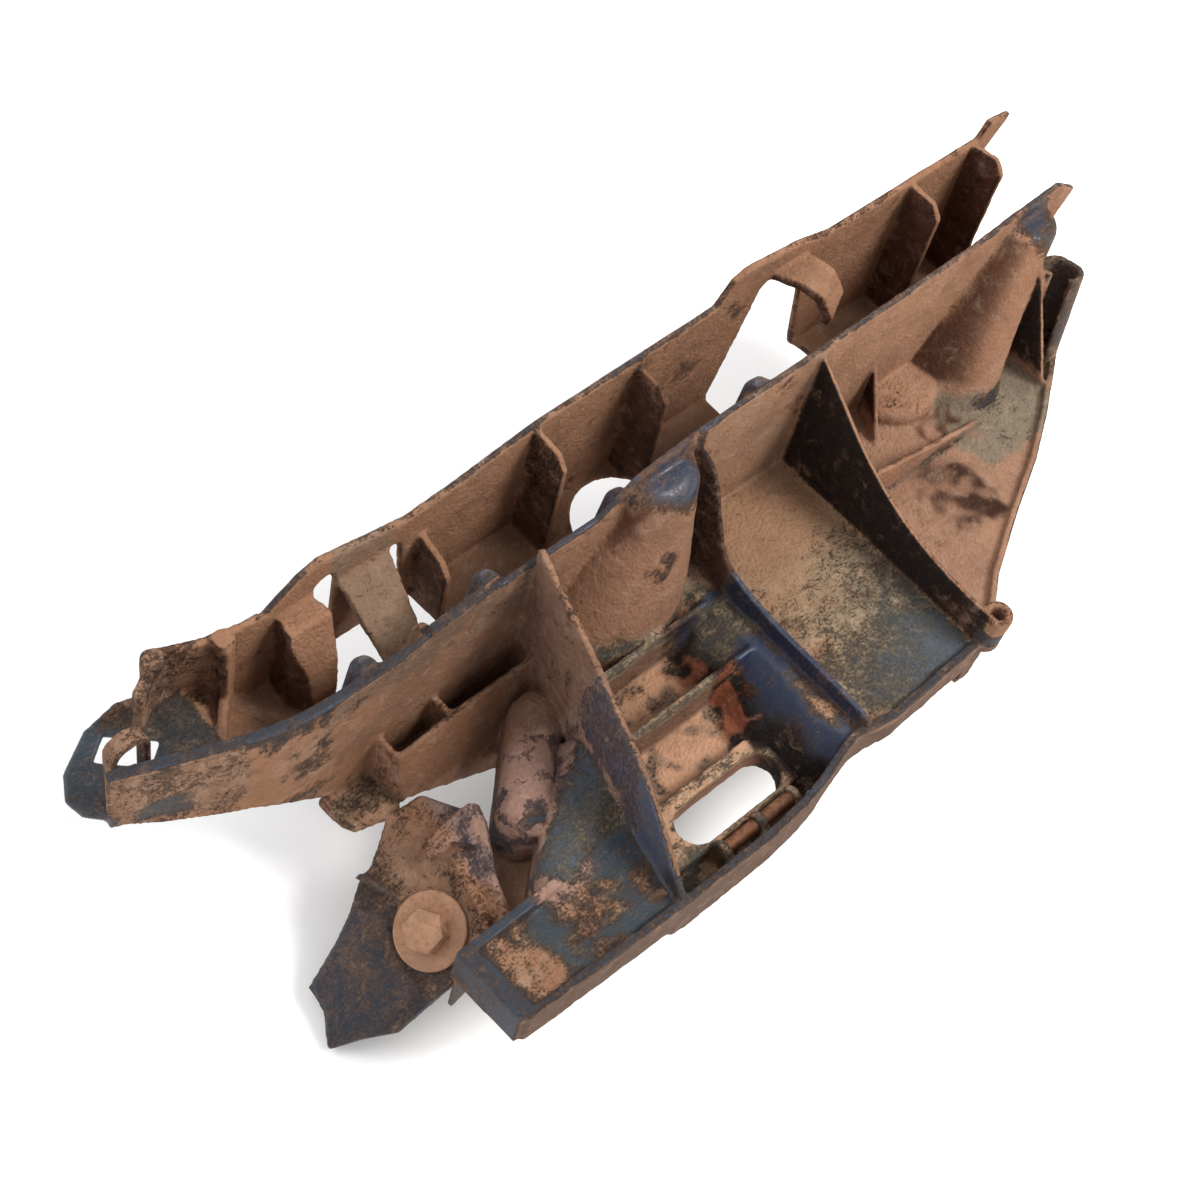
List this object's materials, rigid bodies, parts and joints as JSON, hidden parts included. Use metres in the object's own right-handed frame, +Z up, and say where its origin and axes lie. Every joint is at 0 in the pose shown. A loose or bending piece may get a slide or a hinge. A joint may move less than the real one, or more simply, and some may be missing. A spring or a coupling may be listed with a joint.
{
  "type": "bumper support bracket",
  "caption": "Ribbed moulded-plastic support bracket for a bumper guard, with twin rails, trays, a slotted bay, gussets and an angled bolt arm.",
  "frame": {"origin": "start of the fixing bolt's free thread, on its axis, under the arm's sleeve", "axes": "+X along the twin rails towards the high end, +Y from the front skirt to the rear rail, +Z up, square to the trays"},
  "size_m": [0.4875, 0.1809, 0.1549],
  "materials": {
    "moulding": "worn, under dried mud",
    "fastener": "plated steel under rust and dried mud",
    "pin": "rusty steel"
  },
  "bodies": {
    "bracket": {"arm": "moulding", "arm_flap": "moulding", "bay_floor": "moulding", "bay_ramp": "moulding", "bay_rib_1": "moulding", "bay_rib_2": "moulding", "box_boss": "moulding", "bridge_panel": "moulding", "channel_fin_1": "moulding", "channel_fin_2": "moulding", "channel_fin_3": "moulding", "channel_fin_4": "moulding", "channel_fin_5": "moulding", "channel_floor_middle": "moulding", "channel_floor_right": "moulding", "channel_ramp": "moulding", "compression_sleeve": "fastener", "end_gusset": "moulding", "end_plate": "moulding", "end_rib": "moulding", "front_rail": "moulding", "front_rail_bead_left": "moulding", "front_rail_tail": "moulding", "front_skirt": "moulding", "hook_tab": "moulding", "ledge_pad": "moulding", "ledge_plate": "moulding", "ledge_pocket": "moulding", "left_dome": "moulding", "left_gusset": "moulding", "left_tray": "moulding", "left_tray_rim": "moulding", "middle_gusset": "moulding", "panel_gusset": "moulding", "panel_rib": "moulding", "panel_rim": "moulding", "pin_knuckles": "moulding", "pin_pocket": "moulding", "rail_buttress_1": "moulding", "rail_buttress_2": "moulding", "rail_buttress_3": "moulding", "rail_buttress_4": "moulding", "rail_buttress_5": "moulding", "rear_rail": "moulding", "rear_rail_tail": "moulding", "retaining_pin": "pin", "right_dome": "moulding", "right_gusset": "moulding", "right_panel": "moulding", "right_tray": "moulding", "round_pad": "moulding", "saddle_front_lobe": "moulding", "saddle_rear_lobe": "moulding", "slot_block": "moulding", "snap_hook": "moulding", "tail_rib": "moulding", "tray_back_web": "moulding"},
    "bolt": {"fixing_bolt": "fastener", "bolt_flange_washer": "fastener"}
  },
  "joints": [
    {"name": "bolt_turn", "type": "hinge", "parent": "bracket", "child": "bolt", "pos_m": [0, 0, 0], "axis": [0.62, -0.051, -0.783], "continuous": true}
  ]
}
